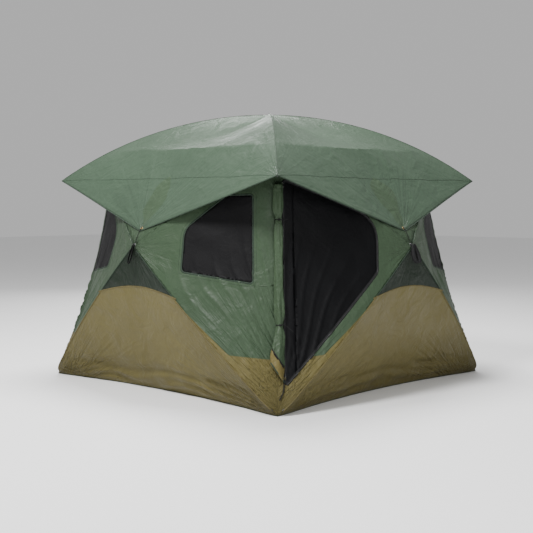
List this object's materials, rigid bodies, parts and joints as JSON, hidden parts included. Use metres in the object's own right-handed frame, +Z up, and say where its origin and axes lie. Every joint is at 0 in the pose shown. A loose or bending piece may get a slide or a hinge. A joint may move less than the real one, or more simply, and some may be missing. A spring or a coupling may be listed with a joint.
{
  "type": "pop up ground shelter",
  "caption": "Square pop-up hub shelter: spring-out hub walls and roof, pointed rain fly on crossed bows, mesh windows, screen doors with rolled outer doors.",
  "frame": {"origin": "middle of the floor's underside, on the ground", "axes": "+Z up; the four walls face +X, +Y, -X and -Y; the front door is in the +X wall beside the +X -Y corner and the rear door in the -X wall beside the -X +Y corner"},
  "size_m": [2.7504, 2.7504, 2.0451],
  "materials": {
    "green_fabric": "matt woven polyester, sage green",
    "dark_green_fabric": "matt woven polyester, dark green",
    "tan_fabric": "matt coated polyester, olive tan",
    "fly_fabric": "smooth coated polyester, pale sage",
    "black_mesh": "fine open mesh",
    "black_plastic": "moulded nylon",
    "pole": "wrapped glass fibre rod",
    "elastic_cord": "braided elastic",
    "zip_metal": "nickel-plated zinc",
    "black_webbing": "ribbed nylon webbing"
  },
  "bodies": {
    "root": {"floor": "tan_fabric", "roof_canopy": "green_fabric", "front_door_roll": "tan_fabric", "rear_door_roll": "tan_fabric", "top_corner_north_east": "black_plastic", "top_corner_north_west": "black_plastic", "top_corner_south_west": "black_plastic", "top_corner_south_east": "black_plastic"},
    "east_hub": {"east_hub": "black_plastic"},
    "east_pole_lower_left": {"east_pole_lower_left": "pole"},
    "east_pole_lower_right": {"east_pole_lower_right": "pole"},
    "east_pole_upper_right": {"east_pole_upper_right": "pole"},
    "east_pole_upper_left": {"east_pole_upper_left": "pole"},
    "east_panel_lower": {"east_panel_lower": "tan_fabric"},
    "east_panel_right": {"east_panel_right": "green_fabric"},
    "east_panel_upper": {"east_panel_upper": "green_fabric"},
    "east_panel_left": {"east_panel_left": "green_fabric"},
    "north_hub": {"north_hub": "black_plastic"},
    "north_pole_lower_left": {"north_pole_lower_left": "pole"},
    "north_pole_lower_right": {"north_pole_lower_right": "pole"},
    "north_pole_upper_right": {"north_pole_upper_right": "pole"},
    "north_pole_upper_left": {"north_pole_upper_left": "pole"},
    "north_panel_lower": {"north_panel_lower": "tan_fabric"},
    "north_panel_right": {"north_panel_right": "green_fabric"},
    "north_panel_upper": {"north_panel_upper": "green_fabric"},
    "north_panel_left": {"north_panel_left": "green_fabric"},
    "west_hub": {"west_hub": "black_plastic"},
    "west_pole_lower_left": {"west_pole_lower_left": "pole"},
    "west_pole_lower_right": {"west_pole_lower_right": "pole"},
    "west_pole_upper_right": {"west_pole_upper_right": "pole"},
    "west_pole_upper_left": {"west_pole_upper_left": "pole"},
    "west_panel_lower": {"west_panel_lower": "tan_fabric"},
    "west_panel_right": {"west_panel_right": "green_fabric"},
    "west_panel_upper": {"west_panel_upper": "green_fabric"},
    "west_panel_left": {"west_panel_left": "green_fabric"},
    "south_hub": {"south_hub": "black_plastic"},
    "south_pole_lower_left": {"south_pole_lower_left": "pole"},
    "south_pole_lower_right": {"south_pole_lower_right": "pole"},
    "south_pole_upper_right": {"south_pole_upper_right": "pole"},
    "south_pole_upper_left": {"south_pole_upper_left": "pole"},
    "south_panel_lower": {"south_panel_lower": "tan_fabric"},
    "south_panel_right": {"south_panel_right": "green_fabric"},
    "south_panel_upper": {"south_panel_upper": "green_fabric"},
    "south_panel_left": {"south_panel_left": "green_fabric"},
    "roof_hub": {"roof_hub": "black_plastic"},
    "roof_pole_north_east": {"roof_pole_north_east": "pole"},
    "roof_pole_north_west": {"roof_pole_north_west": "pole"},
    "roof_pole_south_west": {"roof_pole_south_west": "pole"},
    "roof_pole_south_east": {"roof_pole_south_east": "pole"},
    "fly": {"rain_fly": "fly_fabric", "fly_pole_first": "pole", "fly_pole_second": "pole", "east_fly_cord": "elastic_cord", "north_fly_cord": "elastic_cord", "west_fly_cord": "elastic_cord", "south_fly_cord": "elastic_cord"},
    "front_screen_door": {"front_screen_door": "black_mesh"},
    "front_zip_slider": {"front_zip_slider": "zip_metal"},
    "rear_screen_door": {"rear_screen_door": "black_mesh"},
    "rear_zip_slider": {"rear_zip_slider": "zip_metal"}
  },
  "joints": [
    {"name": "east_hub_slide", "type": "slide", "parent": "root", "child": "east_hub", "axis": [0.9832, 0, 0.1828], "range_m": [-0.654, 0]},
    {"name": "east_pole_lower_left_pin", "type": "hinge", "parent": "east_hub", "child": "east_pole_lower_left", "pos_m": [1.33648, -0.02453, 1.02256], "axis": [0.1401, 0.642, -0.7538], "range_deg": [-24.2, 0]},
    {"name": "east_pole_lower_right_pin", "type": "hinge", "parent": "east_hub", "child": "east_pole_lower_right", "pos_m": [1.33648, 0.02453, 1.02256], "axis": [-0.1401, 0.642, 0.7538], "range_deg": [-24.2, 0]},
    {"name": "east_pole_upper_right_pin", "type": "hinge", "parent": "east_hub", "child": "east_pole_upper_right", "pos_m": [1.32897, 0.02453, 1.06296], "axis": [-0.1401, -0.642, 0.7538], "range_deg": [-32.78, 0]},
    {"name": "east_pole_upper_left_pin", "type": "hinge", "parent": "east_hub", "child": "east_pole_upper_left", "pos_m": [1.32897, -0.02453, 1.06296], "axis": [0.1401, -0.642, -0.7538], "range_deg": [-32.78, 0]},
    {"name": "east_panel_lower_hinge", "type": "hinge", "parent": "root", "child": "east_panel_lower", "pos_m": [1.1994, -1.194, 0.0366], "axis": [0, 1, 0], "range_deg": [-37.45, 0]},
    {"name": "east_panel_right_hinge", "type": "hinge", "parent": "root", "child": "east_panel_right", "pos_m": [1.20859, 1.11039, -0.01283], "axis": [-0.1798, -0.1798, 0.9671], "range_deg": [-39.54, 0]},
    {"name": "east_panel_upper_hinge", "type": "hinge", "parent": "root", "child": "east_panel_upper", "pos_m": [0.89428, 0.877, 1.6777], "axis": [0, -1, 0], "range_deg": [-49.81, 0]},
    {"name": "east_panel_left_hinge", "type": "hinge", "parent": "root", "child": "east_panel_left", "pos_m": [0.89159, -0.79339, 1.69217], "axis": [0.1798, -0.1798, -0.9671], "range_deg": [-39.54, 0]},
    {"name": "north_hub_slide", "type": "slide", "parent": "root", "child": "north_hub", "axis": [0, 0.9832, 0.1828], "range_m": [-0.654, 0]},
    {"name": "north_pole_lower_left_pin", "type": "hinge", "parent": "north_hub", "child": "north_pole_lower_left", "pos_m": [0.02453, 1.33648, 1.02256], "axis": [-0.642, 0.1401, -0.7538], "range_deg": [-24.2, 0]},
    {"name": "north_pole_lower_right_pin", "type": "hinge", "parent": "north_hub", "child": "north_pole_lower_right", "pos_m": [-0.02453, 1.33648, 1.02256], "axis": [-0.642, -0.1401, 0.7538], "range_deg": [-24.2, 0]},
    {"name": "north_pole_upper_right_pin", "type": "hinge", "parent": "north_hub", "child": "north_pole_upper_right", "pos_m": [-0.02453, 1.32897, 1.06296], "axis": [0.642, -0.1401, 0.7538], "range_deg": [-32.78, 0]},
    {"name": "north_pole_upper_left_pin", "type": "hinge", "parent": "north_hub", "child": "north_pole_upper_left", "pos_m": [0.02453, 1.32897, 1.06296], "axis": [0.642, 0.1401, -0.7538], "range_deg": [-32.78, 0]},
    {"name": "north_panel_lower_hinge", "type": "hinge", "parent": "root", "child": "north_panel_lower", "pos_m": [1.194, 1.1994, 0.0366], "axis": [-1, 0, 0], "range_deg": [-37.45, 0]},
    {"name": "north_panel_right_hinge", "type": "hinge", "parent": "root", "child": "north_panel_right", "pos_m": [-1.11039, 1.20859, -0.01283], "axis": [0.1798, -0.1798, 0.9671], "range_deg": [-39.54, 0]},
    {"name": "north_panel_upper_hinge", "type": "hinge", "parent": "root", "child": "north_panel_upper", "pos_m": [-0.877, 0.89428, 1.6777], "axis": [1, 0, 0], "range_deg": [-49.81, 0]},
    {"name": "north_panel_left_hinge", "type": "hinge", "parent": "root", "child": "north_panel_left", "pos_m": [0.79339, 0.89159, 1.69217], "axis": [0.1798, 0.1798, -0.9671], "range_deg": [-39.54, 0]},
    {"name": "west_hub_slide", "type": "slide", "parent": "root", "child": "west_hub", "axis": [-0.9832, 0, 0.1828], "range_m": [-0.654, 0]},
    {"name": "west_pole_lower_left_pin", "type": "hinge", "parent": "west_hub", "child": "west_pole_lower_left", "pos_m": [-1.33648, 0.02453, 1.02256], "axis": [-0.1401, -0.642, -0.7538], "range_deg": [-24.2, 0]},
    {"name": "west_pole_lower_right_pin", "type": "hinge", "parent": "west_hub", "child": "west_pole_lower_right", "pos_m": [-1.33648, -0.02453, 1.02256], "axis": [0.1401, -0.642, 0.7538], "range_deg": [-24.2, 0]},
    {"name": "west_pole_upper_right_pin", "type": "hinge", "parent": "west_hub", "child": "west_pole_upper_right", "pos_m": [-1.32897, -0.02453, 1.06296], "axis": [0.1401, 0.642, 0.7538], "range_deg": [-32.78, 0]},
    {"name": "west_pole_upper_left_pin", "type": "hinge", "parent": "west_hub", "child": "west_pole_upper_left", "pos_m": [-1.32897, 0.02453, 1.06296], "axis": [-0.1401, 0.642, -0.7538], "range_deg": [-32.78, 0]},
    {"name": "west_panel_lower_hinge", "type": "hinge", "parent": "root", "child": "west_panel_lower", "pos_m": [-1.1994, 1.194, 0.0366], "axis": [0, -1, 0], "range_deg": [-37.45, 0]},
    {"name": "west_panel_right_hinge", "type": "hinge", "parent": "root", "child": "west_panel_right", "pos_m": [-1.20859, -1.11039, -0.01283], "axis": [0.1798, 0.1798, 0.9671], "range_deg": [-39.54, 0]},
    {"name": "west_panel_upper_hinge", "type": "hinge", "parent": "root", "child": "west_panel_upper", "pos_m": [-0.89428, -0.877, 1.6777], "axis": [0, 1, 0], "range_deg": [-49.81, 0]},
    {"name": "west_panel_left_hinge", "type": "hinge", "parent": "root", "child": "west_panel_left", "pos_m": [-0.89159, 0.79339, 1.69217], "axis": [-0.1798, 0.1798, -0.9671], "range_deg": [-39.54, 0]},
    {"name": "south_hub_slide", "type": "slide", "parent": "root", "child": "south_hub", "axis": [0, -0.9832, 0.1828], "range_m": [-0.654, 0]},
    {"name": "south_pole_lower_left_pin", "type": "hinge", "parent": "south_hub", "child": "south_pole_lower_left", "pos_m": [-0.02453, -1.33648, 1.02256], "axis": [0.642, -0.1401, -0.7538], "range_deg": [-24.2, 0]},
    {"name": "south_pole_lower_right_pin", "type": "hinge", "parent": "south_hub", "child": "south_pole_lower_right", "pos_m": [0.02453, -1.33648, 1.02256], "axis": [0.642, 0.1401, 0.7538], "range_deg": [-24.2, 0]},
    {"name": "south_pole_upper_right_pin", "type": "hinge", "parent": "south_hub", "child": "south_pole_upper_right", "pos_m": [0.02453, -1.32897, 1.06296], "axis": [-0.642, 0.1401, 0.7538], "range_deg": [-32.78, 0]},
    {"name": "south_pole_upper_left_pin", "type": "hinge", "parent": "south_hub", "child": "south_pole_upper_left", "pos_m": [-0.02453, -1.32897, 1.06296], "axis": [-0.642, -0.1401, -0.7538], "range_deg": [-32.78, 0]},
    {"name": "south_panel_lower_hinge", "type": "hinge", "parent": "root", "child": "south_panel_lower", "pos_m": [-1.194, -1.1994, 0.0366], "axis": [1, 0, 0], "range_deg": [-37.45, 0]},
    {"name": "south_panel_right_hinge", "type": "hinge", "parent": "root", "child": "south_panel_right", "pos_m": [1.11039, -1.20859, -0.01283], "axis": [-0.1798, 0.1798, 0.9671], "range_deg": [-39.54, 0]},
    {"name": "south_panel_upper_hinge", "type": "hinge", "parent": "root", "child": "south_panel_upper", "pos_m": [0.877, -0.89428, 1.6777], "axis": [-1, 0, 0], "range_deg": [-49.81, 0]},
    {"name": "south_panel_left_hinge", "type": "hinge", "parent": "root", "child": "south_panel_left", "pos_m": [-0.79339, -0.89159, 1.69217], "axis": [-0.1798, -0.1798, -0.9671], "range_deg": [-39.54, 0]},
    {"name": "roof_hub_slide", "type": "slide", "parent": "root", "child": "roof_hub", "axis": [0, 0, 1], "range_m": [-0.49, 0], "deforming": ["roof_canopy"]},
    {"name": "roof_pole_north_east_pin", "type": "hinge", "parent": "roof_hub", "child": "roof_pole_north_east", "pos_m": [0.02263, 0.02263, 1.95], "axis": [-0.7071, 0.7071, 0], "range_deg": [-22.93, 0]},
    {"name": "roof_pole_north_west_pin", "type": "hinge", "parent": "roof_hub", "child": "roof_pole_north_west", "pos_m": [-0.02263, 0.02263, 1.95], "axis": [-0.7071, -0.7071, 0], "range_deg": [-22.93, 0]},
    {"name": "roof_pole_south_west_pin", "type": "hinge", "parent": "roof_hub", "child": "roof_pole_south_west", "pos_m": [-0.02263, -0.02263, 1.95], "axis": [0.7071, -0.7071, 0], "range_deg": [-22.93, 0]},
    {"name": "roof_pole_south_east_pin", "type": "hinge", "parent": "roof_hub", "child": "roof_pole_south_east", "pos_m": [0.02263, -0.02263, 1.95], "axis": [0.7071, 0.7071, 0], "range_deg": [-22.93, 0]},
    {"name": "fly_lift", "type": "slide", "parent": "root", "child": "fly", "axis": [0, 0, 1], "range_m": [0, 0.45]},
    {"name": "front_door_hinge", "type": "hinge", "parent": "east_panel_left", "child": "front_screen_door", "pos_m": [0.90431, -0.76099, 1.68851], "axis": [-0.1798, 0.1798, 0.9671], "range_deg": [0, 85]},
    {"name": "front_zip_slide", "type": "slide", "parent": "east_panel_left", "child": "front_zip_slider", "axis": [0.1181, 0.7653, 0.6328], "range_m": [0, 0.7]},
    {"name": "rear_door_hinge", "type": "hinge", "parent": "west_panel_left", "child": "rear_screen_door", "pos_m": [-0.90431, 0.76099, 1.68851], "axis": [0.1798, -0.1798, 0.9671], "range_deg": [0, 85]},
    {"name": "rear_zip_slide", "type": "slide", "parent": "west_panel_left", "child": "rear_zip_slider", "axis": [-0.1181, -0.7653, 0.6328], "range_m": [0, 0.7]}
  ],
  "couplings": [
    {"joint": "east_pole_lower_left_pin", "follows": "east_hub_slide", "rad_per_m": 0.64582},
    {"joint": "east_pole_lower_right_pin", "follows": "east_hub_slide", "rad_per_m": 0.64582},
    {"joint": "east_pole_upper_right_pin", "follows": "east_hub_slide", "rad_per_m": 0.87472},
    {"joint": "east_pole_upper_left_pin", "follows": "east_hub_slide", "rad_per_m": 0.87472},
    {"joint": "east_panel_lower_hinge", "follows": "east_hub_slide", "rad_per_m": 0.99929},
    {"joint": "east_panel_right_hinge", "follows": "east_hub_slide", "rad_per_m": 1.0552},
    {"joint": "east_panel_upper_hinge", "follows": "east_hub_slide", "rad_per_m": 1.3291},
    {"joint": "east_panel_left_hinge", "follows": "east_hub_slide", "rad_per_m": 1.0552},
    {"joint": "north_pole_lower_left_pin", "follows": "north_hub_slide", "rad_per_m": 0.64582},
    {"joint": "north_pole_lower_right_pin", "follows": "north_hub_slide", "rad_per_m": 0.64582},
    {"joint": "north_pole_upper_right_pin", "follows": "north_hub_slide", "rad_per_m": 0.87472},
    {"joint": "north_pole_upper_left_pin", "follows": "north_hub_slide", "rad_per_m": 0.87472},
    {"joint": "north_panel_lower_hinge", "follows": "north_hub_slide", "rad_per_m": 0.99929},
    {"joint": "north_panel_right_hinge", "follows": "north_hub_slide", "rad_per_m": 1.0552},
    {"joint": "north_panel_upper_hinge", "follows": "north_hub_slide", "rad_per_m": 1.3291},
    {"joint": "north_panel_left_hinge", "follows": "north_hub_slide", "rad_per_m": 1.0552},
    {"joint": "west_pole_lower_left_pin", "follows": "west_hub_slide", "rad_per_m": 0.64582},
    {"joint": "west_pole_lower_right_pin", "follows": "west_hub_slide", "rad_per_m": 0.64582},
    {"joint": "west_pole_upper_right_pin", "follows": "west_hub_slide", "rad_per_m": 0.87472},
    {"joint": "west_pole_upper_left_pin", "follows": "west_hub_slide", "rad_per_m": 0.87472},
    {"joint": "west_panel_lower_hinge", "follows": "west_hub_slide", "rad_per_m": 0.99929},
    {"joint": "west_panel_right_hinge", "follows": "west_hub_slide", "rad_per_m": 1.0552},
    {"joint": "west_panel_upper_hinge", "follows": "west_hub_slide", "rad_per_m": 1.3291},
    {"joint": "west_panel_left_hinge", "follows": "west_hub_slide", "rad_per_m": 1.0552},
    {"joint": "south_pole_lower_left_pin", "follows": "south_hub_slide", "rad_per_m": 0.64582},
    {"joint": "south_pole_lower_right_pin", "follows": "south_hub_slide", "rad_per_m": 0.64582},
    {"joint": "south_pole_upper_right_pin", "follows": "south_hub_slide", "rad_per_m": 0.87472},
    {"joint": "south_pole_upper_left_pin", "follows": "south_hub_slide", "rad_per_m": 0.87472},
    {"joint": "south_panel_lower_hinge", "follows": "south_hub_slide", "rad_per_m": 0.99929},
    {"joint": "south_panel_right_hinge", "follows": "south_hub_slide", "rad_per_m": 1.0552},
    {"joint": "south_panel_upper_hinge", "follows": "south_hub_slide", "rad_per_m": 1.3291},
    {"joint": "south_panel_left_hinge", "follows": "south_hub_slide", "rad_per_m": 1.0552},
    {"joint": "roof_pole_north_east_pin", "follows": "roof_hub_slide", "rad_per_m": 0.81656},
    {"joint": "roof_pole_north_west_pin", "follows": "roof_hub_slide", "rad_per_m": 0.81656},
    {"joint": "roof_pole_south_west_pin", "follows": "roof_hub_slide", "rad_per_m": 0.81656},
    {"joint": "roof_pole_south_east_pin", "follows": "roof_hub_slide", "rad_per_m": 0.81656}
  ]
}
